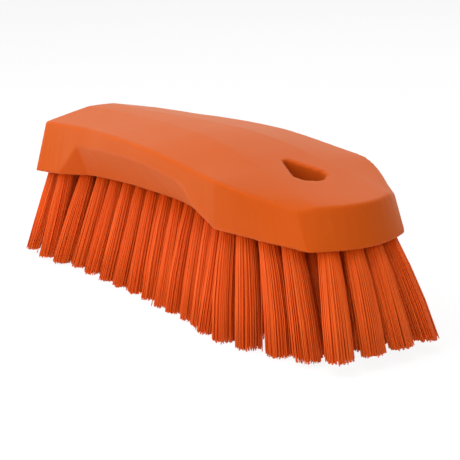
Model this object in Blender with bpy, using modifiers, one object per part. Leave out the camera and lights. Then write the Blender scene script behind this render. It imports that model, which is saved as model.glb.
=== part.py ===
# Hand brush: a moulded block with a finger recess along each side, a raised crown on top and a
# teardrop hanging hole near its nose, and leaning tufts of bristles set in rows in its lower face.
# Metres, +Z up. The brush stands on its bristle tips, with the nose towards +X. The origin is midway
# between the outermost tips, on the surface that the brush stands on. Places along the brush are
# counted from the middle of the block.

import math

import bmesh
import bpy
from mathutils import Vector

# Block
block_length = 0.200
origin_from_middle = 0.00266  # the bristles reach further past the nose than past the rear
block_half_width = 0.035  # top edge at the hips, the widest place
base_height = 0.040  # lower face at the two ends
base_arch = 0.0025  # how far the lower face rises towards the middle
crown_rise = 0.0292  # top of the crown above the lower face's ends
end_draft = 0.0045  # how far each end face leans in from base to top
rear_bow = 0.0018
nose_bow = 0.0075
hip_top_from_nose = 0.0464  # where the side turns in towards the nose, at the top
hip_base_from_nose = 0.0508
corner_round = 0.0035  # upright corners of the rear end
nose_corner_round = 0.0025
top_edge_round = 0.002
base_edge_round = 0.001

# Hanging hole: a round end towards the nose, running to a narrow end
hole_radius = 0.007
hole_tip_radius = 0.002
hole_centre_from_nose = 0.0355
hole_tip_from_centre = 0.0131

# Rows of tufts, each in its own slice of the lower face
row_count = 17
first_row_from_rear = 0.0165
last_row_from_nose = 0.0215
rear_row_from_rear = 0.0065
end_row_half_length = 0.028
nose_row_half_length = 0.0166
nose_row_from_edge = 0.0023
slice_width = 0.0076
slice_thickness = 0.0025
slice_gap = 0.0003
slice_from_edge = 0.0022
slice_from_hole = 0.0022
tuft_pitch = 0.010

# Bristles: every tuft is five strands, one in the middle of four
strand_radius = 0.00106
strand_tip_radius = 0.00098
root_spread = 0.0016
tip_spread = 0.0026
root_depth = 0.0008  # how far a strand reaches into its slice
trim_depth = 0.0005  # cut off flat at the tips
standing_half_length = 0.045  # the tips are level this far from the middle
rear_tip_rise = 0.0031  # and higher at the ends, where the tufts splay
nose_tip_rise = 0.0062
nose_spread_share = 1.5

overrun = 0.010  # cutters pass the faces that they open by this much
recess_overrun = 0.002
merge_distance = 0.00001  # where two mirrored halves meet

half_length = block_length / 2
hip_share = 0.78

# Shares of the way from rear to nose, and of the half width or the crown's rise there
top_half_shares = (
    (0.0, 0.843), (0.1, 0.823), (0.2, 0.823), (0.3, 0.868), (0.4, 0.908), (0.5, 0.952),
    (0.6, 0.976), (0.7, 0.991), (0.78, 1.0), (0.89, 0.862), (1.0, 0.650),
)
top_rise_shares = (
    (0.0, 0.788), (0.1, 0.823), (0.2, 0.849), (0.3, 0.871), (0.4, 0.880), (0.5, 0.871),
    (0.6, 0.829), (0.7, 0.771), (0.78, 0.726), (0.89, 0.613), (1.0, 0.500),
)
crease_half_shares = (
    (0.0, 0.180), (0.1, 0.166), (0.2, 0.171), (0.3, 0.194), (0.4, 0.229), (0.5, 0.269),
    (0.6, 0.314), (0.7, 0.354), (0.78, 0.386), (0.89, 0.431), (1.0, 0.480),
)
crease_rise_shares = (
    (0.0, 0.925), (0.1, 0.942), (0.2, 0.956), (0.3, 0.969), (0.4, 0.979), (0.5, 0.979),
    (0.6, 0.949), (0.7, 0.872), (0.78, 0.788), (0.89, 0.668), (1.0, 0.535),
)
centre_rise_shares = (
    (0.0, 0.945), (0.1, 0.962), (0.2, 0.976), (0.3, 0.990), (0.4, 1.0), (0.5, 1.0),
    (0.6, 0.969), (0.7, 0.890), (0.78, 0.805), (0.89, 0.680), (1.0, 0.540),
)
base_half_shares = (
    (0.0, 0.974), (0.065, 0.914), (0.11, 0.886), (0.2, 0.890), (0.36, 0.918), (0.52, 0.943),
    (0.65, 0.951), (0.78, 0.934), (0.89, 0.808), (1.0, 0.640),
)
# Finger recess, from rear to front: a place along its lower rim and the half width there, as shares of
# the half length and the half width, then how far its face runs along and rises for each step outwards
recess_shares = (
    (-0.860, 0.967, 0.91, 2.08), (-0.666, 0.649, 0.91, 2.08), (-0.605, 0.611, 0.62, 1.74),
    (-0.540, 0.589, 0.35, 1.58), (-0.480, 0.571, 0.15, 1.47), (-0.420, 0.560, 0.0, 1.40),
    (-0.340, 0.551, 0.0, 1.33), (-0.260, 0.549, 0.0, 1.29), (-0.190, 0.549, 0.0, 1.26),
    (-0.120, 0.549, 0.0, 1.23), (-0.060, 0.550, 0.0, 1.19), (0.000, 0.551, 0.0, 1.17),
    (0.070, 0.566, 0.0, 1.15), (0.150, 0.600, 0.0, 1.19), (0.220, 0.649, 0.0, 1.30),
    (0.260, 0.680, 0.0, 1.39), (0.293, 0.709, 0.0, 1.40), (0.325, 0.737, 0.0, 1.26),
    (0.350, 0.760, 0.0, 1.08), (0.375, 0.783, 0.0, 0.93), (0.415, 0.823, 0.0, 0.90),
    (0.455, 0.869, 0.0, 0.95), (0.490, 0.917, 0.0, 1.0), (0.540, 0.986, 0.0, 1.0),
)
# Half width across the bristle tips, as shares of the half length and the half width
tip_half_shares = (
    (-1.0, 1.005), (-0.835, 0.957), (-0.734, 0.886), (-0.632, 0.794), (-0.53, 0.786), (-0.2, 0.777),
    (0.076, 0.800), (0.178, 0.800), (0.279, 0.834), (0.38, 0.895), (0.481, 0.895), (0.582, 0.834),
    (0.684, 0.720), (0.785, 0.623), (1.0, 0.550),
)
# How far the tips lean towards the nose, as shares of the half length
tip_lean_shares = (
    (-0.935, -0.098), (-0.835, -0.075), (-0.734, -0.060), (-0.632, -0.060), (-0.53, -0.030), (-0.43, 0.003),
    (-0.33, 0.016), (-0.23, 0.038), (-0.126, 0.052), (-0.025, 0.062), (0.076, 0.056), (0.178, 0.069),
    (0.279, 0.060), (0.38, 0.036), (0.481, 0.047), (0.582, 0.073), (0.684, 0.110), (0.785, 0.140), (0.94, 0.150),
)

# How the block is divided for its loft
station_shares = (
    0.0, 0.04, 0.08, 0.12, 0.17, 0.22, 0.27, 0.32, 0.37, 0.42, 0.47, 0.52, 0.57, 0.62, 0.67,
    0.71, 0.75, 0.78, 0.81, 0.85, 0.89, 0.93, 0.97, 1.0,
)
wall_steps = 2
slope_steps = 3


def read_table(shares, at):
    """The table's value there, by a smooth curve that doesn't overshoot."""
    if at <= shares[0][0]:
        return shares[0][1]
    if at >= shares[-1][0]:
        return shares[-1][1]
    steps = [(b[1] - a[1]) / (b[0] - a[0]) for a, b in zip(shares, shares[1:])]
    slopes = [steps[0]]
    for before, after in zip(steps, steps[1:]):
        level = before * after <= 0
        slopes.append(0 if level else 2 * before * after / (before + after))
    slopes.append(steps[-1])
    for i, (a, b) in enumerate(zip(shares, shares[1:])):
        if at <= b[0]:
            width = b[0] - a[0]
            t = (at - a[0]) / width
            rest = 1 - t
            ends = a[1] * rest * rest * (1 + 2 * t) + b[1] * t * t * (1 + 2 * rest)
            return ends + width * t * rest * (slopes[i] * rest - slopes[i + 1] * t)


def along(share, rear, hip, nose):
    """A place along the block, whose hip lies at its own share of the way."""
    if share <= hip_share:
        return rear + (hip - rear) * share / hip_share
    return hip + (nose - hip) * (share - hip_share) / (1 - hip_share)


def share_along(x, rear, hip, nose):
    if x <= hip:
        return hip_share * (x - rear) / (hip - rear)
    return hip_share + (1 - hip_share) * (x - hip) / (nose - hip)


def base_z(x):
    return base_height + base_arch * max(0, 1 - (x / half_length) ** 2)


hip_top = half_length - hip_top_from_nose
hip_base = half_length - hip_base_from_nose
rear_corner_base = -half_length + rear_bow
nose_corner_base = half_length - nose_bow


def base_half(x):
    share = share_along(x, rear_corner_base, hip_base, nose_corner_base)
    return block_half_width * read_table(base_half_shares, share)


def block_point(share, across, down):
    """A point of the block: across counts columns from the middle, down is 0 at the top and 1 at the base."""
    edge = block_half_width * read_table(top_half_shares, share)
    crease = block_half_width * read_table(crease_half_shares, share)
    centre_rise = read_table(centre_rise_shares, share)
    crease_rise = read_table(crease_rise_shares, share)
    edge_rise = read_table(top_rise_shares, share)
    if across <= 2:
        part = across / 2
        y = crease * part
        rise = centre_rise + (crease_rise - centre_rise) * part * part
    else:
        part = (across - 2) / slope_steps
        y = crease + (edge - crease) * part
        rise = crease_rise + (edge_rise - crease_rise) * part
    out = y / edge
    bow = out * out
    rear = -half_length + end_draft + rear_bow * bow
    nose = half_length - end_draft - nose_bow * bow
    top = Vector((along(share, rear, hip_top, nose), -y, base_height + crown_rise * rise))
    base_edge = block_half_width * read_table(base_half_shares, share)
    x = along(share, rear - end_draft, hip_base, nose + end_draft)
    base = Vector((x, -base_edge * out, base_z(x)))
    return top.lerp(base, down)


def new_object(name, bm, collection, material):
    bmesh.ops.recalc_face_normals(bm, faces=bm.faces)
    bmesh.ops.translate(bm, verts=bm.verts, vec=(-origin_from_middle, 0, 0))
    mesh = bpy.data.meshes.new(name)
    bm.to_mesh(mesh)
    bm.free()
    obj = bpy.data.objects.new(name, mesh)
    collection.objects.link(obj)
    if material:
        mesh.materials.append(material)
    return obj


def prism(bm, outline, low, high):
    """An outline in the XY plane, drawn up from one height to another."""
    corners = [bm.verts.new((x, y, low)) for x, y in outline]
    rim = [bm.edges.new((corners[i - 1], corners[i])) for i in range(len(corners))]
    bottom = bmesh.ops.edgeloop_fill(bm, edges=rim)
    grown = bmesh.ops.extrude_face_region(bm, geom=bottom["faces"])
    upper = [v for v in grown["geom"] if isinstance(v, bmesh.types.BMVert)]
    bmesh.ops.translate(bm, verts=upper, vec=(0, 0, high - low))


def arc(centre, radius, start, end, steps):
    """Points of an arc, its two ends included. Angles in turns."""
    points = []
    for i in range(steps + 1):
        angle = math.tau * (start + (end - start) * i / steps)
        points.append((centre[0] + radius * math.cos(angle), centre[1] + radius * math.sin(angle)))
    return points


def bar_outline(x, low, high, width):
    """A bar across the block at x, between two values of y, with round ends."""
    radius = width / 2
    return arc((x, low + radius), radius, 0.5, 1.0, 6) + arc((x, high - radius), radius, 0.0, 0.5, 6)


def nose_edge(y):
    return half_length - nose_bow * (y / base_half(nose_corner_base)) ** 2


def nose_bar_outline(from_edge, width, half):
    """A bar that follows the bow of the nose."""
    steps = 8
    ys = [half * (2 * i / steps - 1) for i in range(steps + 1)]
    front = [(nose_edge(y) - from_edge, y) for y in ys]
    back = [(nose_edge(y) - from_edge - width, y) for y in reversed(ys)]
    return front + back


def recess_half(x):
    """Half width of the lower face, where the finger recess may have narrowed it."""
    half = base_half(x)
    points = [(row[0] * half_length, row[1] * block_half_width) for row in recess_shares]
    for a, b in zip(points, points[1:]):
        if a[0] <= x <= b[0]:
            half = min(half, a[1] + (b[1] - a[1]) * (x - a[0]) / (b[0] - a[0]))
    return half


def make_block(collection, material):
    """A loft from rear to nose: a lattice of stations, columns and wall rows, of which only the skin is kept."""
    bm = bmesh.new()
    columns = 2 + slope_steps
    last = len(station_shares) - 1
    points = {}

    def vert(i, j, k):
        if (i, j, k) not in points:
            at = block_point(station_shares[i], j, k / wall_steps)
            points[i, j, k] = bm.verts.new(at)
        return points[i, j, k]

    def face(*places):
        bm.faces.new([vert(*place) for place in places])

    for i in range(last):
        for j in range(columns):
            for k in (0, wall_steps):
                face((i, j, k), (i + 1, j, k), (i + 1, j + 1, k), (i, j + 1, k))
        for k in range(wall_steps):
            face((i, columns, k), (i + 1, columns, k), (i + 1, columns, k + 1), (i, columns, k + 1))
    for i in (0, last):
        for j in range(columns):
            for k in range(wall_steps):
                face((i, j, k), (i, j + 1, k), (i, j + 1, k + 1), (i, j, k + 1))

    weights = bm.edges.layers.float.new("bevel_weight_edge")

    def round_edge(first, second, radius):
        edge = bm.edges.get((vert(*first), vert(*second)))
        edge[weights] = radius / corner_round

    for i in range(last):
        round_edge((i, columns, 0), (i + 1, columns, 0), top_edge_round)
        round_edge((i, columns, wall_steps), (i + 1, columns, wall_steps), base_edge_round)
    for i, radius in ((0, corner_round), (last, nose_corner_round)):
        for j in range(columns):
            round_edge((i, j, 0), (i, j + 1, 0), top_edge_round)
            round_edge((i, j, wall_steps), (i, j + 1, wall_steps), base_edge_round)
        for k in range(wall_steps):
            round_edge((i, columns, k), (i, columns, k + 1), radius)

    block = new_object("block", bm, collection, material)
    mirror = block.modifiers.new("both sides", "MIRROR")
    mirror.use_axis = (False, True, False)
    mirror.merge_threshold = merge_distance
    rounding = block.modifiers.new("rounded edges", "BEVEL")
    rounding.limit_method = "WEIGHT"
    rounding.offset_type = "OFFSET"
    rounding.width = corner_round
    rounding.segments = 2
    return block


def make_recess_cutter(collection):
    """What the fingers' recess takes away on one side, mirrored to the other."""
    bm = bmesh.new()
    rings = []
    side = block_half_width + recess_overrun
    floor = base_height - recess_overrun
    for place, half, run, rise in recess_shares:
        lower = Vector((place * half_length, half * block_half_width, base_z(place * half_length)))
        slope = Vector((run, 1, rise))
        outer = lower + slope * (side - lower.y)
        inner = lower + slope * (floor - lower.z) / rise
        corner = Vector((outer.x, side, floor))
        rings.append([bm.verts.new(point) for point in (outer, inner, corner)])
    for a, b in zip(rings, rings[1:]):
        for i in range(3):
            bm.faces.new((a[i], a[i - 1], b[i - 1], b[i]))
    bm.faces.new(rings[0])
    bm.faces.new(rings[-1])
    cutter = new_object("recess_cutter", bm, collection, None)
    mirror = cutter.modifiers.new("both sides", "MIRROR")
    mirror.use_axis = (False, True, False)
    mirror.merge_threshold = merge_distance
    return cutter


def make_hole_cutter(collection):
    """The teardrop: two arcs and the straight sides that touch both."""
    centre = (half_length - hole_centre_from_nose, 0)
    tip = (centre[0] - hole_tip_from_centre, 0)
    side_turn = math.acos((hole_tip_radius - hole_radius) / hole_tip_from_centre) / math.tau
    outline = arc(centre, hole_radius, side_turn - 0.5, 0.5 - side_turn, 14)
    outline += arc(tip, hole_tip_radius, 0.5 - side_turn, 0.5 + side_turn, 6)
    bm = bmesh.new()
    prism(bm, outline, base_height - overrun, base_height + crown_rise + overrun)
    return new_object("hole_cutter", bm, collection, None)


def trimmed_height(x):
    beyond = max(0, abs(x) - standing_half_length) / (half_length - standing_half_length)
    return (nose_tip_rise if x > 0 else rear_tip_rise) * beyond ** 3


def add_tuft(bm, root, tip, slice_z):
    """Five square strands from a slice of the lower face to their tips, cut off flat."""
    length = slice_z - tip.z
    offsets = ((0, 0), (1, 1), (1, -1), (-1, 1), (-1, -1))
    for across, along_row in offsets:
        start = Vector((root.x + root_spread * across, root.y + root_spread * along_row, slice_z))
        end = Vector((tip.x + tip_spread * across, tip.y + tip_spread * along_row, tip.z))
        slope = (end - start) / length
        start = start - slope * root_depth
        end = end + slope * trim_depth
        made = bmesh.ops.create_cone(
            bm, cap_ends=True, segments=4, radius1=strand_tip_radius, radius2=strand_radius,
            depth=start.z - end.z,
        )
        middle = (start.z - end.z) / 2
        for vert in made["verts"]:
            place = start if vert.co.z > 0 else end
            vert.co.x += place.x
            vert.co.y += place.y
            vert.co.z += end.z + middle


def trim(bm, height):
    geometry = bm.verts[:] + bm.edges[:] + bm.faces[:]
    cut = bmesh.ops.bisect_plane(
        bm, geom=geometry, plane_co=(0, 0, height), plane_no=(0, 0, -1), clear_outer=True
    )
    edges = [e for e in cut["geom_cut"] if isinstance(e, bmesh.types.BMEdge)]
    bmesh.ops.holes_fill(bm, edges=edges, sides=4)


def make_row(name, outline, pocket, tufts, x, parts, cutters, material, block):
    """One row: its slice of the lower face, the tufts that are fused to it, and its pocket in the block."""
    low = base_z(x)
    bm = bmesh.new()
    prism(bm, outline, low, low + slice_thickness)
    row = new_object(name, bm, parts, material)
    bm = bmesh.new()
    for root, tip in tufts:
        add_tuft(bm, root, tip, low)
    trim(bm, trimmed_height(x))
    strands = new_object(name + "_strands", bm, cutters, None)
    fuse = row.modifiers.new("strands", "BOOLEAN")
    fuse.operation = "UNION"
    fuse.object = strands
    bm = bmesh.new()
    prism(bm, pocket, low - overrun, low + slice_thickness + slice_gap)
    cut(block, new_object(name + "_pocket", bm, cutters, None))


def tufts_across(x, outer, inner=None):
    """Roots and tips of a straight row, between its outermost tufts or on one side of the hanging hole."""
    start = -outer if inner is None else inner
    count = 1 + round((outer - start) / tuft_pitch)
    tip_half = block_half_width * read_table(tip_half_shares, x / half_length)
    pitch = (outer - start) / max(1, count - 1)
    tip_x = x + half_length * read_table(tip_lean_shares, x / half_length)
    tufts = []
    for i in range(count):
        y = start + pitch * i
        tufts.append((Vector((x, y, 0)), Vector((tip_x, y * tip_half / outer, trimmed_height(x)))))
    return tufts


def cut(obj, cutter):
    modifier = obj.modifiers.new(cutter.name, "BOOLEAN")
    modifier.operation = "DIFFERENCE"
    modifier.object = cutter


def flipped(points):
    return [(x, -y) for x, y in reversed(points)]


def make_rows(parts, cutters, material, block):
    hole_nose = half_length - hole_centre_from_nose + hole_radius
    hole_tip = half_length - hole_centre_from_nose - hole_tip_from_centre - hole_tip_radius
    pocket_width = slice_width + 2 * slice_gap

    x = -half_length + rear_row_from_rear
    reach = end_row_half_length
    wider = reach + slice_gap
    make_row(
        "tuft_row_rear", bar_outline(x, -reach, reach, slice_width), bar_outline(x, -wider, wider, pocket_width),
        tufts_across(x, reach - slice_width / 2), x, parts, cutters, material, block,
    )

    start = -half_length + first_row_from_rear
    pitch = (block_length - first_row_from_rear - last_row_from_nose) / (row_count - 1)
    for i in range(row_count):
        x = start + pitch * i
        name = f"tuft_row_{i + 1:02d}"
        ends = (x - pocket_width / 2, x, x + pocket_width / 2)
        reach = min(recess_half(end) for end in ends) - slice_from_edge
        wider = reach + slice_gap
        outer = reach - slice_width / 2
        if ends[0] > hole_nose + slice_from_hole or ends[2] < hole_tip - slice_from_hole:
            make_row(
                name, bar_outline(x, -reach, reach, slice_width), bar_outline(x, -wider, wider, pocket_width),
                tufts_across(x, outer), x, parts, cutters, material, block,
            )
            continue
        inside = hole_radius + slice_from_hole + slice_gap
        outline = bar_outline(x, inside, reach, slice_width)
        pocket = bar_outline(x, inside - slice_gap, wider, pocket_width)
        tufts = tufts_across(x, outer, inside + slice_width / 2)
        make_row(name + "_far", outline, pocket, tufts, x, parts, cutters, material, block)
        tufts = [(Vector((a.x, -a.y, a.z)), Vector((b.x, -b.y, b.z))) for a, b in tufts]
        make_row(name + "_near", flipped(outline), flipped(pocket), tufts, x, parts, cutters, material, block)

    outline = nose_bar_outline(nose_row_from_edge, slice_width, nose_row_half_length)
    pocket = nose_bar_outline(nose_row_from_edge - slice_gap, pocket_width, nose_row_half_length + slice_gap)
    middle = nose_row_from_edge + slice_width / 2
    reach = nose_row_half_length - slice_width / 2
    count = 1 + round(2 * reach / tuft_pitch)
    x = half_length - middle
    lean = half_length * read_table(tip_lean_shares, x / half_length)
    tufts = []
    for i in range(count):
        y = reach * (2 * i / max(1, count - 1) - 1)
        root = Vector((nose_edge(y) - middle, y, 0))
        tufts.append((root, Vector((root.x + lean, y * nose_spread_share, trimmed_height(x)))))
    make_row("tuft_row_nose", outline, pocket, tufts, x, parts, cutters, material, block)


def plastic(name, colour, roughness):
    material = bpy.data.materials.new(name)
    material.use_nodes = True
    surface = material.node_tree.nodes["Principled BSDF"]
    surface.inputs["Base Color"].default_value = (*colour, 1)
    surface.inputs["Roughness"].default_value = roughness
    surface.inputs["Metallic"].default_value = 0
    return material


def new_collection(name):
    collection = bpy.data.collections.new(name)
    bpy.context.scene.collection.children.link(collection)
    return collection


for obj in list(bpy.data.objects):
    bpy.data.objects.remove(obj)

parts = new_collection("hand_brush")
cutters = new_collection("hand_brush_cutters")
block_plastic = plastic("orange polypropylene", (0.73, 0.107, 0.019), 0.38)
bristle_plastic = plastic("orange polyester filament", (0.75, 0.09, 0.013), 0.45)

block = make_block(parts, block_plastic)
cut(block, make_recess_cutter(cutters))
cut(block, make_hole_cutter(cutters))
make_rows(parts, cutters, bristle_plastic, block)

for obj in cutters.objects:
    obj.hide_render = True
    obj.display_type = "WIRE"
for obj in parts.objects:
    obj.data.shade_smooth()
    obj.data.set_sharp_from_angle(angle=math.radians(30))
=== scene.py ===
import math
import random

import bmesh
import bpy
from mathutils import Matrix, Vector


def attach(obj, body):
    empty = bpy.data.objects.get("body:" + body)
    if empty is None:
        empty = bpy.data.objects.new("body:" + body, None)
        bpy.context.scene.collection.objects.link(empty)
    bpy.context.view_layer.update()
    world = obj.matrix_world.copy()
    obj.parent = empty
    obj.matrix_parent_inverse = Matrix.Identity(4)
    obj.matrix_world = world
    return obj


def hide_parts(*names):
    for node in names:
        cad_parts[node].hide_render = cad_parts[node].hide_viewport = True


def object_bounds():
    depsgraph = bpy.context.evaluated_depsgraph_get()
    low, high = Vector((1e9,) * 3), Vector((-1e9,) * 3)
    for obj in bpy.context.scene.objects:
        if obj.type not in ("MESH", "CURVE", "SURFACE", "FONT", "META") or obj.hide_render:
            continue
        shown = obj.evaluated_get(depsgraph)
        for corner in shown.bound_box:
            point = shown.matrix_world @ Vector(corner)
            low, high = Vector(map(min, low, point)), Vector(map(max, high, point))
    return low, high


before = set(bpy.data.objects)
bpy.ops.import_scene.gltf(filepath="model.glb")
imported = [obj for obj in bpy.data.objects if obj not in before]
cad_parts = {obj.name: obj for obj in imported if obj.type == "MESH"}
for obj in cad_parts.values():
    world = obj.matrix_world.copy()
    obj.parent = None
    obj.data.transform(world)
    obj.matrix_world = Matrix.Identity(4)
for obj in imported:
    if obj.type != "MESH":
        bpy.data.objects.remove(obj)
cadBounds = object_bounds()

chance = random.Random(11)
scene = bpy.context.scene
# places along the brush are counted from the block's middle, and each piece is moved back by this
originFromMiddle = 0.00266
goldenAngle = 2.39996


def hexToLinear(text):
    values = [int(text[i:i + 2], 16) / 255 for i in (0, 2, 4)]
    return [v / 12.92 if v < 0.04045 else ((v + 0.055) / 1.055) ** 2.4 for v in values] + [1]


def readTable(rows, at):
    # value of a table of (place, value) rows by a smooth curve that doesn't overshoot
    if at <= rows[0][0]:
        return rows[0][1]
    if at >= rows[-1][0]:
        return rows[-1][1]
    steps = [(b[1] - a[1]) / (b[0] - a[0]) for a, b in zip(rows, rows[1:])]
    slopes = [steps[0]]
    for before, after in zip(steps, steps[1:]):
        slopes.append(0 if before * after <= 0 else 2 * before * after / (before + after))
    slopes.append(steps[-1])
    for i, (a, b) in enumerate(zip(rows, rows[1:])):
        if at <= b[0]:
            width = b[0] - a[0]
            t = (at - a[0]) / width
            rest = 1 - t
            ends = a[1] * rest * rest * (1 + 2 * t) + b[1] * t * t * (1 + 2 * rest)
            return ends + width * t * rest * (slopes[i] * rest - slopes[i + 1] * t)


def addObject(name, bm):
    bmesh.ops.translate(bm, verts=bm.verts, vec=(-originFromMiddle, 0, 0))
    mesh = bpy.data.meshes.new(name)
    bm.to_mesh(mesh)
    bm.free()
    piece = bpy.data.objects.new(name, mesh)
    scene.collection.objects.link(piece)
    return piece


def applyModifiers(piece):
    graph = bpy.context.evaluated_depsgraph_get()
    baked = bpy.data.meshes.new_from_object(piece.evaluated_get(graph))
    piece.modifiers.clear()
    piece.data = baked


def addNode(owner, kind, settings=None, values=None, links=None):
    # one node of a material or world, with its settings, its socket values and what feeds its inputs
    tree = owner.node_tree
    node = tree.nodes.new(kind)
    for key, value in (settings or {}).items():
        setattr(node, key, value)
    for key, value in (values or {}).items():
        node.inputs[key].default_value = value
    for key, source in (links or {}).items():
        tree.links.new(source, node.inputs[key])
    return node


def newMaterial(name):
    material = bpy.data.materials.new(name)
    material.use_nodes = True
    material.node_tree.nodes.clear()
    return material


print("camera")
cameraView = {
    "place": (0.42744, -0.27821, 0.15993),
    "right": (0.5583, 0.8292, -0.0250),
    "up": (-0.1964, 0.1614, 0.9672),
    "back": (0.8060, -0.5351, 0.2529),
    "focalPixels": 1278.233,
    "centrePixels": (229.6095, 230.0847),
    "imagePixels": 460,
}
cameraData = bpy.data.cameras.new("camera")
cameraData.sensor_width = 36
cameraData.lens = cameraView["focalPixels"] * cameraData.sensor_width / cameraView["imagePixels"]
halfImage = cameraView["imagePixels"] / 2
cameraData.shift_x = (halfImage - cameraView["centrePixels"][0]) / cameraView["imagePixels"]
cameraData.shift_y = (cameraView["centrePixels"][1] - halfImage) / cameraView["imagePixels"]
cameraData.clip_start = 0.01
camera = bpy.data.objects.new("camera", cameraData)
axes = Matrix((cameraView["right"], cameraView["up"], cameraView["back"])).transposed()
camera.matrix_world = Matrix.LocRotScale(Vector(cameraView["place"]), axes.to_quaternion(), None)
scene.collection.objects.link(camera)
scene.camera = camera


print("materials")
# Polypropylene, injection moulded: a satin, faintly waxy skin that light enters a little
blockFinish = {
    "colour": "D0560F",
    "deepColour": "C84E09",
    "deepMost": 0.22,
    "waveRange": (0.35, 0.75),
    "roughness": (0.41, 0.48),
    "ior": 1.49,
    "specular": 0.05,
    "scatter": 0.15,
    "scatterRadius": (0.004, 0.0014, 0.0006),
    "bloom": 0.32,  # the pale warm gloss at grazing angles
    "bloomRoughness": 0.45,
    "bloomColour": "FFC896",
    "grainMm": 0.9,
    "grainStrength": 0.05,
    "grainDepth": 0.0002,
    "waveMm": 34,
}
blockPlastic = newMaterial("moulded polypropylene")
place = addNode(blockPlastic, "ShaderNodeTexCoord").outputs["Object"]
grain = addNode(blockPlastic, "ShaderNodeTexNoise", values={
    "Scale": 1000 / blockFinish["grainMm"], "Detail": 2,
}, links={"Vector": place})
wave = addNode(blockPlastic, "ShaderNodeTexNoise", values={
    "Scale": 1000 / blockFinish["waveMm"], "Detail": 3, "Roughness": 0.5,
}, links={"Vector": place})
tintShare = addNode(blockPlastic, "ShaderNodeMapRange", values={
    "From Min": blockFinish["waveRange"][0], "From Max": blockFinish["waveRange"][1],
    "To Max": blockFinish["deepMost"],
}, links={"Value": wave.outputs["Fac"]})
tint = addNode(blockPlastic, "ShaderNodeMix", {"data_type": "RGBA"}, {
    "A": hexToLinear(blockFinish["colour"]), "B": hexToLinear(blockFinish["deepColour"]),
}, {"Factor": tintShare.outputs["Result"]})
gloss = addNode(blockPlastic, "ShaderNodeMapRange", values={
    "To Min": blockFinish["roughness"][0], "To Max": blockFinish["roughness"][1],
}, links={"Value": wave.outputs["Fac"]})
bump = addNode(blockPlastic, "ShaderNodeBump", values={
    "Strength": blockFinish["grainStrength"], "Distance": blockFinish["grainDepth"],
}, links={"Height": grain.outputs["Fac"]})
surface = addNode(blockPlastic, "ShaderNodeBsdfPrincipled", values={
    "IOR": blockFinish["ior"], "Specular IOR Level": blockFinish["specular"],
    "Subsurface Weight": blockFinish["scatter"], "Subsurface Radius": blockFinish["scatterRadius"],
    "Subsurface Scale": 1.0, "Sheen Weight": blockFinish["bloom"],
    "Sheen Roughness": blockFinish["bloomRoughness"], "Sheen Tint": hexToLinear(blockFinish["bloomColour"]),
}, links={
    "Base Color": tint.outputs["Result"], "Roughness": gloss.outputs["Result"],
    "Normal": bump.outputs["Normal"],
})
addNode(blockPlastic, "ShaderNodeOutputMaterial", links={"Surface": surface.outputs["BSDF"]})

# Polyester, drawn into round filaments: satin, and it glows red where light passes through
filamentFinish = {
    "colour": "F55A08",
    "paleColour": "FC6E1C",
    "roughness": 0.5,
    "ior": 1.55,
    "specular": 0.22,
    "glow": 0.08,
    "glowColour": "FF3400",
}
filamentPlastic = newMaterial("drawn polyester filament")
tone = addNode(filamentPlastic, "ShaderNodeAttribute", {"attribute_name": "tone"})
tint = addNode(filamentPlastic, "ShaderNodeMix", {"data_type": "RGBA"}, {
    "A": hexToLinear(filamentFinish["colour"]), "B": hexToLinear(filamentFinish["paleColour"]),
}, {"Factor": tone.outputs["Fac"]})
surface = addNode(filamentPlastic, "ShaderNodeBsdfPrincipled", values={
    "IOR": filamentFinish["ior"], "Roughness": filamentFinish["roughness"],
    "Specular IOR Level": filamentFinish["specular"],
}, links={"Base Color": tint.outputs["Result"]})
glow = addNode(filamentPlastic, "ShaderNodeBsdfTranslucent", values={
    "Color": hexToLinear(filamentFinish["glowColour"]),
})
blend = addNode(filamentPlastic, "ShaderNodeMixShader", values={"Fac": filamentFinish["glow"]}, links={
    1: surface.outputs["BSDF"], 2: glow.outputs["BSDF"],
})
addNode(filamentPlastic, "ShaderNodeOutputMaterial", links={"Surface": blend.outputs["Shader"]})


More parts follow.
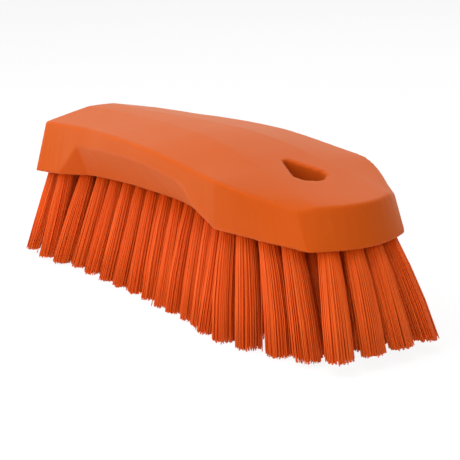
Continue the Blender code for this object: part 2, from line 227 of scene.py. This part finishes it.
print("block")
block = {
    "length": 0.200,
    "halfWidth": 0.035,
    "baseHeight": 0.040,
    "baseArch": 0.0025,
    "crownRise": 0.0292,
    "endDraft": 0.0045,
    "rearBow": 0.0018,
    "noseBow": 0.0075,
    "noseTopBow": 0.0092,  # the upper edge bows further than the lower one
    "hipTopFromNose": 0.0454,
    "hipBaseFromNose": 0.0508,
    "hipShare": 0.78,
    "rearCorner": 0.0035,
    "noseCorner": 0.0010,
    "topEdge": 0.0019,
    "baseEdge": 0.0011,
    "stations": 50,
    "columns": 20,
    "roundSteps": 4,
    "voxel": 0.0007,
    "softening": 4,
    "softeningFactor": 0.5,
    "creaseColumn": 0.4,  # where the crease lies among the columns, from the middle to the edge
    # shares of the way from rear to nose, then of the half width or the rise
    "topHalf": (
        (0.0, 0.843), (0.1, 0.823), (0.2, 0.823), (0.3, 0.868), (0.4, 0.908), (0.5, 0.952),
        (0.6, 0.976), (0.7, 0.991), (0.78, 1.0), (0.782, 0.9984),
        (0.83, 0.953), (0.89, 0.857), (0.945, 0.742), (1.0, 0.640),
    ),
    "topRise": (
        (0.0, 0.788), (0.1, 0.823), (0.2, 0.849), (0.3, 0.871), (0.4, 0.880), (0.5, 0.871),
        (0.6, 0.829), (0.7, 0.771), (0.78, 0.726), (0.89, 0.610), (1.0, 0.478),
    ),
    "creaseHalf": (
        (0.0, 0.180), (0.1, 0.166), (0.2, 0.171), (0.3, 0.194), (0.4, 0.229), (0.5, 0.269),
        (0.6, 0.314), (0.7, 0.354), (0.78, 0.386), (0.89, 0.431), (1.0, 0.480),
    ),
    "creaseRise": (
        (0.0, 0.942), (0.1, 0.959), (0.2, 0.973), (0.3, 0.986), (0.4, 0.996), (0.5, 0.996),
        (0.6, 0.959), (0.7, 0.873), (0.78, 0.773), (0.89, 0.639), (1.0, 0.521),
    ),
    "centreRise": (
        (0.0, 0.945), (0.1, 0.962), (0.2, 0.976), (0.3, 0.990), (0.4, 1.0), (0.5, 1.0),
        (0.6, 0.963), (0.7, 0.877), (0.78, 0.777), (0.89, 0.642), (1.0, 0.523),
    ),
    "baseHalf": (
        (0.0, 0.974), (0.065, 0.914), (0.11, 0.886), (0.2, 0.890), (0.36, 0.918), (0.52, 0.943),
        (0.65, 0.951), (0.78, 0.934), (0.782, 0.9325), (0.89, 0.808), (1.0, 0.640),
    ),
}
# the finger recess: place and half width of its lower rim, as shares of the block's half length and
# half width, then how it runs along and rises outwards
recess = {
    "past": 0.004,
    "stations": 90,
    "corners": 3,
    "mergeDistance": 0.00001,
    "rows": (
        (-0.835, 0.930, 0.47, 2.10), (-0.666, 0.649, 0.47, 2.10), (-0.605, 0.611, 0.46, 1.82),
        (-0.540, 0.589, 0.35, 1.58), (-0.480, 0.571, 0.15, 1.47), (-0.420, 0.560, 0.0, 1.40),
        (-0.340, 0.551, 0.0, 1.33), (-0.260, 0.549, 0.0, 1.29), (-0.190, 0.549, 0.0, 1.26),
        (-0.120, 0.549, 0.0, 1.23), (-0.060, 0.550, 0.0, 1.19), (0.000, 0.551, 0.0, 1.17),
        (0.070, 0.566, 0.0, 1.15), (0.150, 0.600, 0.0, 1.19), (0.220, 0.649, 0.0, 1.30),
        (0.260, 0.680, 0.0, 1.39), (0.293, 0.709, 0.0, 1.40), (0.325, 0.737, 0.0, 1.26),
        (0.350, 0.760, 0.0, 1.08), (0.375, 0.783, 0.0, 0.93), (0.415, 0.823, 0.0, 0.90),
        (0.455, 0.869, 0.0, 0.95), (0.490, 0.917, 0.0, 1.0), (0.540, 0.986, 0.0, 1.0),
    ),
}
hangingHole = {
    "centreFromNose": 0.0355,
    "radius": 0.0064,
    "tipRadius": 0.0018,
    "tipFromCentre": 0.0131,
    "segments": 64,
    "cutterHeight": 0.06,
    "cutterMiddle": 0.055,
}
halfLength = block["length"] / 2


def baseZ(x):
    return block["baseHeight"] + block["baseArch"] * max(0, 1 - (x / halfLength) ** 2)


def alongBlock(share, rear, hip, nose):
    if share <= block["hipShare"]:
        return rear + (hip - rear) * share / block["hipShare"]
    return hip + (nose - hip) * (share - block["hipShare"]) / (1 - block["hipShare"])


def blockPoint(share, side, onTop):
    # side runs from -1 at the near edge to 1 at the far one
    edge = block["halfWidth"] * readTable(block["topHalf"], share)
    crease = block["halfWidth"] * readTable(block["creaseHalf"], share)
    centreRise = readTable(block["centreRise"], share)
    creaseRise = readTable(block["creaseRise"], share)
    edgeRise = readTable(block["topRise"], share)
    across = abs(side)
    if across <= block["creaseColumn"]:
        part = across / block["creaseColumn"]
        y = crease * part
        rise = centreRise + (creaseRise - centreRise) * part * part
    else:
        part = (across - block["creaseColumn"]) / (1 - block["creaseColumn"])
        y = crease + (edge - crease) * part
        rise = creaseRise + (edgeRise - creaseRise) * part
    out = math.copysign(y / edge, side)
    if onTop:
        rear = -halfLength + block["endDraft"] + block["rearBow"] * out * out
        nose = halfLength - block["endDraft"] - block["noseTopBow"] * out * out
        x = alongBlock(share, rear, halfLength - block["hipTopFromNose"], nose)
        return Vector((x, edge * out, block["baseHeight"] + block["crownRise"] * rise))
    rear = -halfLength + block["rearBow"] * out * out
    nose = halfLength - block["noseBow"] * out * out
    x = alongBlock(share, rear, halfLength - block["hipBaseFromNose"], nose)
    return Vector((x, block["halfWidth"] * readTable(block["baseHalf"], share) * out, baseZ(x)))


def recessHalf(x):
    # half width of the lower face where the recess narrows it
    rows = [(row[0] * halfLength, row[1] * block["halfWidth"]) for row in recess["rows"]]
    share = block["hipShare"] * (x + halfLength) / (2 * halfLength - block["hipBaseFromNose"])
    if share > block["hipShare"]:
        fromCorner = halfLength - block["noseBow"] - x
        hipFromCorner = block["hipBaseFromNose"] - block["noseBow"]
        share = 1 - (1 - block["hipShare"]) * fromCorner / hipFromCorner
    half = block["halfWidth"] * readTable(block["baseHalf"], share)
    for a, b in zip(rows, rows[1:]):
        if a[0] <= x <= b[0]:
            half = min(half, a[1] + (b[1] - a[1]) * (x - a[0]) / (b[0] - a[0]))
    return half


def noseEdge(y):
    return halfLength - block["noseBow"] * (y / (block["halfWidth"] * block["baseHalf"][-1][1])) ** 2


# tufts: where each row's roots stand, and how its tips lean and spread
tufts = {
    "rows": 17,
    "firstFromRear": 0.0165,
    "lastFromNose": 0.0215,
    "rearRowFromRear": 0.0065,
    "rearRowReach": 0.0242,
    "noseRowFromEdge": 0.0061,
    "noseRowReach": 0.0128,
    "pitch": 0.010,
    "fromRim": 0.0060,
    "besideHole": 0.0133,
    "halfSlice": 0.0041,  # half the width of a row's pocket in the solids
    "holeRadius": 0.0037,
    "holeDepth": 0.0032,
    "holeSides": 16,
    "rootRadius": 0.0034,
    "rootDepth": 0.002,
    "strands": 225,
    "strandRadius": 0.00024,
    "strandSides": 5,
    "strandSteps": 3,
    "taper": 0.08,
    "thickness": (0.92, 1.1),  # least and most share of the radius
    "drift": 0.0003,  # of a whole tuft's tip
    "fan": (0.97, 1.02),  # least and most share of the spread
    "unevenTips": 0.0007,
    "bend": 0.0006,
    "unevenBend": 0.06,
    "bulge": 0.0004,
    "strays": 0.012,
    "strayReach": 0.0016,
    "fromBox": (0.0003, 0.0001),  # how far the tips stay inside the brush's box, and above its floor
    "loose": ((-1.0, 0.00012), (0.3, 0.00012), (0.7, 0.00024), (1.0, 0.00024)),
    "rearRise": 0.0031,
    "noseRise": 0.0062,
    "noseSpread": 1.5,
    "levelHalf": 0.045,
    # places as shares of the half length, then metres, as in "loose" above
    "lean": (
        (-0.935, -0.0098), (-0.835, -0.0075), (-0.734, -0.0060), (-0.632, -0.0060), (-0.53, -0.0030),
        (-0.43, 0.0003), (-0.33, 0.0016), (-0.23, 0.0038), (-0.126, 0.0052), (-0.025, 0.0062),
        (0.076, 0.0056), (0.178, 0.0069), (0.279, 0.0060), (0.38, 0.0036), (0.481, 0.0047),
        (0.582, 0.0073), (0.684, 0.0110), (0.785, 0.0140), (0.94, 0.0150),
    ),
    "tipHalf": (
        (-1.0, 0.0352), (-0.835, 0.0335), (-0.734, 0.0310), (-0.632, 0.0278), (-0.53, 0.0275),
        (-0.2, 0.0272), (0.076, 0.0280), (0.178, 0.0280), (0.279, 0.0292), (0.38, 0.0313),
        (0.481, 0.0313), (0.582, 0.0292), (0.684, 0.0252), (0.785, 0.0218), (1.0, 0.0192),
    ),
    "tipRadius": (
        (-1.0, 0.0046), (-0.7, 0.0049), (-0.4, 0.0047), (-0.2, 0.0044), (0.2, 0.0045),
        (0.5, 0.0050), (0.8, 0.0053), (1.0, 0.0048),
    ),
}


def tipHeight(x):
    beyond = max(0, abs(x) - tufts["levelHalf"]) / (halfLength - tufts["levelHalf"])
    return tufts["noseRise" if x > 0 else "rearRise"] * beyond ** 3


def straightRow(x, outer, inner=None):
    start = -outer if inner is None else inner
    count = 1 + round((outer - start) / tufts["pitch"])
    tipHalf = readTable(tufts["tipHalf"], x / halfLength)
    row = []
    for i in range(count):
        y = start + (outer - start) * i / (count - 1)
        tip = Vector((x + readTable(tufts["lean"], x / halfLength), y * tipHalf / outer, tipHeight(x)))
        row.append((Vector((x, y, baseZ(x))), tip))
    return row


tuftRows = {"tuft_row_rear": straightRow(-halfLength + tufts["rearRowFromRear"], tufts["rearRowReach"])}
rowPitch = (block["length"] - tufts["firstFromRear"] - tufts["lastFromNose"]) / (tufts["rows"] - 1)
mirror = Vector((1, -1, 1))
for i in range(tufts["rows"]):
    x = -halfLength + tufts["firstFromRear"] + rowPitch * i
    outer = min(recessHalf(x + side * tufts["halfSlice"]) for side in (-1, 0, 1)) - tufts["fromRim"]
    name = f"tuft_row_{i + 1:02d}"
    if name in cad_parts:
        tuftRows[name] = straightRow(x, outer)
    else:
        far = straightRow(x, outer, tufts["besideHole"])
        tuftRows[name + "_far"] = far
        tuftRows[name + "_near"] = [(a * mirror, b * mirror) for a, b in far]
noseRow = []
noseCount = 1 + round(2 * tufts["noseRowReach"] / tufts["pitch"])
noseTipHeight = tipHeight(halfLength - tufts["noseRowFromEdge"])
for i in range(noseCount):
    y = tufts["noseRowReach"] * (2 * i / (noseCount - 1) - 1)
    x = noseEdge(y) - tufts["noseRowFromEdge"]
    tip = Vector((x + tufts["lean"][-1][1], y * tufts["noseSpread"], noseTipHeight))
    noseRow.append((Vector((x, y, baseZ(x))), tip))
tuftRows["tuft_row_nose"] = noseRow


def makeBlock():
    # a grid, extruded into two skins, bent into the block's form and rounded at its edges
    rim = 0.999  # the grid's edges are at 1
    level = 0.001  # two ends of an edge that runs along the rim
    bm = bmesh.new()
    bmesh.ops.create_grid(bm, x_segments=block["stations"], y_segments=block["columns"], size=1)
    for face in bm.faces:
        face.normal_flip()
    grown = bmesh.ops.extrude_face_region(bm, geom=bm.faces[:])
    upper = {v for v in grown["geom"] if isinstance(v, bmesh.types.BMVert)}
    weights = bm.edges.layers.float.new("bevel_weight_edge")
    for edge in bm.edges:
        a, b = edge.verts
        levels = (a in upper) + (b in upper)
        onSide = abs(a.co.y) > rim and abs(b.co.y) > rim
        onEnd = abs(a.co.x) > rim and abs(b.co.x) > rim
        alongSide = onSide and abs(a.co.y - b.co.y) < level
        alongEnd = onEnd and abs(a.co.x - b.co.x) < level
        if levels == 1 and onSide and onEnd:
            edge[weights] = block["noseCorner"] / block["rearCorner"] if a.co.x > 0 else 1
        elif levels != 1 and (alongSide or alongEnd):
            edge[weights] = block["topEdge" if levels else "baseEdge"] / block["rearCorner"]
    for vert in bm.verts:
        vert.co = blockPoint((vert.co.x + 1) / 2, vert.co.y, vert in upper)
    bmesh.ops.recalc_face_normals(bm, faces=bm.faces)
    piece = addObject("brush_block", bm)
    rounded = piece.modifiers.new("rounded edges", "BEVEL")
    rounded.limit_method = "WEIGHT"
    rounded.width = block["rearCorner"]
    rounded.segments = block["roundSteps"]
    return piece


def makeRecessCutter():
    # a strip with three corners to each row, closed into a bar
    bm = bmesh.new()
    ramp, rows = recess["rows"][0], recess["rows"][1:]
    last = recess["stations"]
    bmesh.ops.create_grid(bm, x_segments=last, y_segments=recess["corners"], size=1)
    for vert in bm.verts:
        station = round((vert.co.x + 1) / 2 * last)
        along, half, run, rise = ramp
        if station:
            along = rows[0][0] + (rows[-1][0] - rows[0][0]) * (station - 1) / (last - 1)
            half, run, rise = [readTable([(row[0], row[k]) for row in rows], along) for k in (1, 2, 3)]
        lower = Vector((along * halfLength, half * block["halfWidth"], baseZ(along * halfLength)))
        slope = Vector((run, 1, rise))
        outer = lower + slope * (block["halfWidth"] + recess["past"] - lower.y)
        floor = block["baseHeight"] - recess["past"]
        corner = round((vert.co.y + 1) / 2 * recess["corners"])
        if corner == 1:
            vert.co = lower + slope * (floor - lower.z) / rise
        elif corner == 2:
            vert.co = (outer.x, outer.y, floor)
        else:
            vert.co = outer
    bmesh.ops.remove_doubles(bm, verts=bm.verts, dist=recess["mergeDistance"])
    bmesh.ops.holes_fill(bm, edges=bm.edges)
    bmesh.ops.recalc_face_normals(bm, faces=bm.faces)
    mirrored = bmesh.ops.duplicate(bm, geom=bm.faces[:])
    verts = [v for v in mirrored["geom"] if isinstance(v, bmesh.types.BMVert)]
    bmesh.ops.scale(bm, vec=(1, -1, 1), verts=verts)
    bmesh.ops.recalc_face_normals(bm, faces=bm.faces)
    return addObject("recess_cutter", bm)


def makeHoleCutter():
    # two circles, hulled into a teardrop and drawn up through the block
    bm = bmesh.new()
    centre = halfLength - hangingHole["centreFromNose"]
    tip = centre - hangingHole["tipFromCentre"]
    for x, radius in ((centre, hangingHole["radius"]), (tip, hangingHole["tipRadius"])):
        bmesh.ops.create_cone(
            bm, cap_ends=True, segments=hangingHole["segments"], radius1=radius, radius2=radius,
            depth=hangingHole["cutterHeight"], matrix=Matrix.Translation((x, 0, hangingHole["cutterMiddle"])),
        )
    hull = bmesh.ops.convex_hull(bm, input=bm.verts[:])
    spare = hull["geom_interior"] + hull["geom_unused"]
    spareVerts = list({g for g in spare if isinstance(g, bmesh.types.BMVert)})
    bmesh.ops.delete(bm, geom=spareVerts, context="VERTS")
    hullFaces = {g for g in hull["geom"] if isinstance(g, bmesh.types.BMFace)}
    bmesh.ops.delete(bm, geom=[f for f in bm.faces if f not in hullFaces], context="FACES_ONLY")
    bmesh.ops.recalc_face_normals(bm, faces=bm.faces)
    return addObject("hole_cutter", bm)


def makeDrillCutter():
    bm = bmesh.new()
    for row in tuftRows.values():
        for root, _ in row:
            bmesh.ops.create_cone(
                bm, cap_ends=True, segments=tufts["holeSides"], radius1=tufts["holeRadius"],
                radius2=tufts["holeRadius"], depth=2 * tufts["holeDepth"], matrix=Matrix.Translation(root),
            )
    return addObject("drill_cutter", bm)


brushBlock = makeBlock()
cutters = [makeRecessCutter(), makeHoleCutter(), makeDrillCutter()]
for cutter in cutters:
    cut = brushBlock.modifiers.new(cutter.name, "BOOLEAN")
    cut.operation = "DIFFERENCE"
    cut.object = cutter
even = brushBlock.modifiers.new("even mesh", "REMESH")
even.mode = "VOXEL"
even.voxel_size = block["voxel"]
soften = brushBlock.modifiers.new("softened edges", "SMOOTH")
soften.factor = block["softeningFactor"]
soften.iterations = block["softening"]
applyModifiers(brushBlock)
for cutter in cutters:
    bpy.data.objects.remove(cutter)
brushBlock.data.shade_smooth()
brushBlock.data.materials.clear()
brushBlock.data.materials.append(blockPlastic)
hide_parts("block")
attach(brushBlock, "root")
print("block faces", len(brushBlock.data.polygons))


print("tufts")
# the tips stay within the size of the brush
fromSides, fromFloor = tufts["fromBox"]
lowest = cadBounds[0] + Vector((originFromMiddle + fromSides, fromSides, fromFloor))
highest = cadBounds[1] + Vector((originFromMiddle - fromSides, -fromSides, 0))
# one filament, a unit tall and a unit in radius, that all of them are copied from
bm = bmesh.new()
bmesh.ops.create_circle(bm, cap_ends=True, segments=tufts["strandSides"], radius=1)
tipFaces = bm.faces[:]
for step in range(tufts["strandSteps"]):
    grown = bmesh.ops.extrude_face_region(bm, geom=tipFaces)
    if step:  # only the root's cap stays, so that no face is left inside
        bmesh.ops.delete(bm, geom=tipFaces, context="FACES_ONLY")
    verts = [g for g in grown["geom"] if isinstance(g, bmesh.types.BMVert)]
    tipFaces = [g for g in grown["geom"] if isinstance(g, bmesh.types.BMFace)]
    bmesh.ops.translate(bm, verts=verts, vec=(0, 0, 1 / tufts["strandSteps"]))
bmesh.ops.recalc_face_normals(bm, faces=bm.faces)
strandMesh = bpy.data.meshes.new("strand")
bm.to_mesh(strandMesh)
bm.free()
strandVerts = len(strandMesh.vertices)


def strandPaths(root, tip):
    # the filaments of one tuft: packed in a disc at the root, and fanned out to the tip's ellipse
    widest = readTable(tufts["tipRadius"], root.x / halfLength)
    loose = readTable(tufts["loose"], root.x / halfLength)
    limits = [min(tip[i] - lowest[i], highest[i] - tip[i]) - 2 * tufts["strandRadius"] for i in (0, 1)]
    spread = Vector((min(widest, limits[0]), min(widest, limits[1]), 0))
    sway = Vector((chance.uniform(-1, 1), chance.uniform(-1, 1), 0)) * tufts["bend"]
    drift = Vector((chance.gauss(0, tufts["drift"]), chance.gauss(0, tufts["drift"]), 0))
    depth = Vector((0, 0, tufts["rootDepth"]))
    paths = []
    for k in range(tufts["strands"]):
        fromMiddle = math.sqrt((k + 0.5) / tufts["strands"])
        angle = k * goldenAngle
        out = Vector((math.cos(angle), math.sin(angle), 0)) * fromMiddle
        start = root + out * tufts["rootRadius"] + depth
        end = tip + drift + out * spread * chance.uniform(*tufts["fan"])
        moved = (chance.gauss(0, loose), chance.gauss(0, loose), abs(chance.gauss(0, tufts["unevenTips"])))
        end += Vector(moved)
        if chance.random() < tufts["strays"]:
            end += out * Vector((tufts["strayReach"], tufts["strayReach"], 0))
        end = Vector([min(max(end[i], lowest[i]), highest[i]) for i in range(3)])
        uneven = Vector((chance.gauss(0, tufts["unevenBend"]), chance.gauss(0, tufts["unevenBend"]), 0))
        bend = sway + uneven * tufts["bend"] + out * tufts["bulge"]
        radius = tufts["strandRadius"] * chance.uniform(*tufts["thickness"])
        paths.append((start, end, bend, radius, chance.random()))
    return paths


def makeTuftRow(name, row):
    paths = [path for root, tip in row for path in strandPaths(root, tip)]
    bm = bmesh.new()
    for path in paths:
        bm.from_mesh(strandMesh)
    toneLayer = bm.verts.layers.float.new("tone")
    bm.verts.ensure_lookup_table()
    for k, (start, end, bend, radius, tone) in enumerate(paths):
        axis = (end - start).normalized()
        side = axis.cross(Vector((0, 1, 0))).normalized()
        other = axis.cross(side)
        for vert in bm.verts[k * strandVerts:(k + 1) * strandVerts]:
            t = vert.co.z
            taper = 1 - tufts["taper"] * t
            middle = start.lerp(end, t) + bend * 4 * t * (1 - t)
            vert.co = middle + (side * vert.co.x + other * vert.co.y) * radius * taper
            vert[toneLayer] = tone
    bmesh.ops.recalc_face_normals(bm, faces=bm.faces)
    piece = addObject(name.replace("tuft_row", "bristle_row"), bm)
    piece.data.shade_smooth()
    piece.data.materials.append(filamentPlastic)
    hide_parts(name)
    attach(piece, "root")
    return len(paths)


strandCount = sum(makeTuftRow(name, row) for name, row in tuftRows.items())
print("filaments", strandCount)


print("stage and light")
stage = {
    "floorSize": 6.0,
    "floorColour": "F4F4F4",
    "shadowShare": 0.15,
    "whiteLevel": 1.05,
    "roomLight": 0.27,  # what lights the brush, where the camera sees white
    "lampAim": (0, 0, 0.03),
}


def seenDirectly(owner):
    # 1 for what the camera or a reflection sees, otherwise 0
    rays = addNode(owner, "ShaderNodeLightPath")
    seen = addNode(owner, "ShaderNodeMath", {"operation": "MAXIMUM"}, links={
        0: rays.outputs["Is Camera Ray"], 1: rays.outputs["Is Glossy Ray"],
    })
    return seen.outputs["Value"]


bm = bmesh.new()
bmesh.ops.create_grid(bm, x_segments=1, y_segments=1, size=stage["floorSize"] / 2)
floor = addObject("floor", bm)
# Paper, matt white, that keeps a faint shadow
floorPaint = newMaterial("matt white paper")
share = addNode(floorPaint, "ShaderNodeMath", {"operation": "MULTIPLY"}, {1: 1 - stage["shadowShare"]}, {
    0: seenDirectly(floorPaint),
})
matt = addNode(floorPaint, "ShaderNodeBsdfDiffuse", values={"Color": hexToLinear(stage["floorColour"])})
white = addNode(floorPaint, "ShaderNodeEmission", values={
    "Color": (1, 1, 1, 1), "Strength": stage["whiteLevel"],
})
mixed = addNode(floorPaint, "ShaderNodeMixShader", links={
    "Fac": share.outputs["Value"], 1: matt.outputs["BSDF"], 2: white.outputs["Emission"],
})
addNode(floorPaint, "ShaderNodeOutputMaterial", links={"Surface": mixed.outputs["Shader"]})
floor.data.materials.append(floorPaint)

world = bpy.data.worlds.new("white room")
scene.world = world
world.use_nodes = True
world.node_tree.nodes.clear()
strength = addNode(world, "ShaderNodeMapRange", values={"To Min": stage["roomLight"], "To Max": 1.0}, links={
    "Value": seenDirectly(world),
})
sky = addNode(world, "ShaderNodeBackground", values={"Color": (1, 1, 1, 1)}, links={
    "Strength": strength.outputs["Result"],
})
addNode(world, "ShaderNodeOutputWorld", links={"Surface": sky.outputs["Background"]})

lamps = {
    "key": {"place": (-0.20, -0.25, 1.00), "size": 0.9, "power": 6.9},
    "near": {"place": (-0.05, -0.88, 0.32), "size": 0.8, "power": 3.6},
    "front": {"place": (0.75, -0.25, 0.42), "size": 0.8, "power": 1.5},
    "back": {"place": (-0.5, 0.8, 0.7), "size": 0.8, "power": 1.1},
}
for name, lamp in lamps.items():
    data = bpy.data.lights.new(name, "AREA")
    data.shape = "DISK"
    data.size = lamp["size"]
    data.energy = lamp["power"]
    light = bpy.data.objects.new(name, data)
    light.location = lamp["place"]
    aim = Vector(stage["lampAim"]) - light.location
    light.rotation_euler = aim.to_track_quat("-Z", "Y").to_euler()
    scene.collection.objects.link(light)

scene.view_settings.view_transform = "Standard"
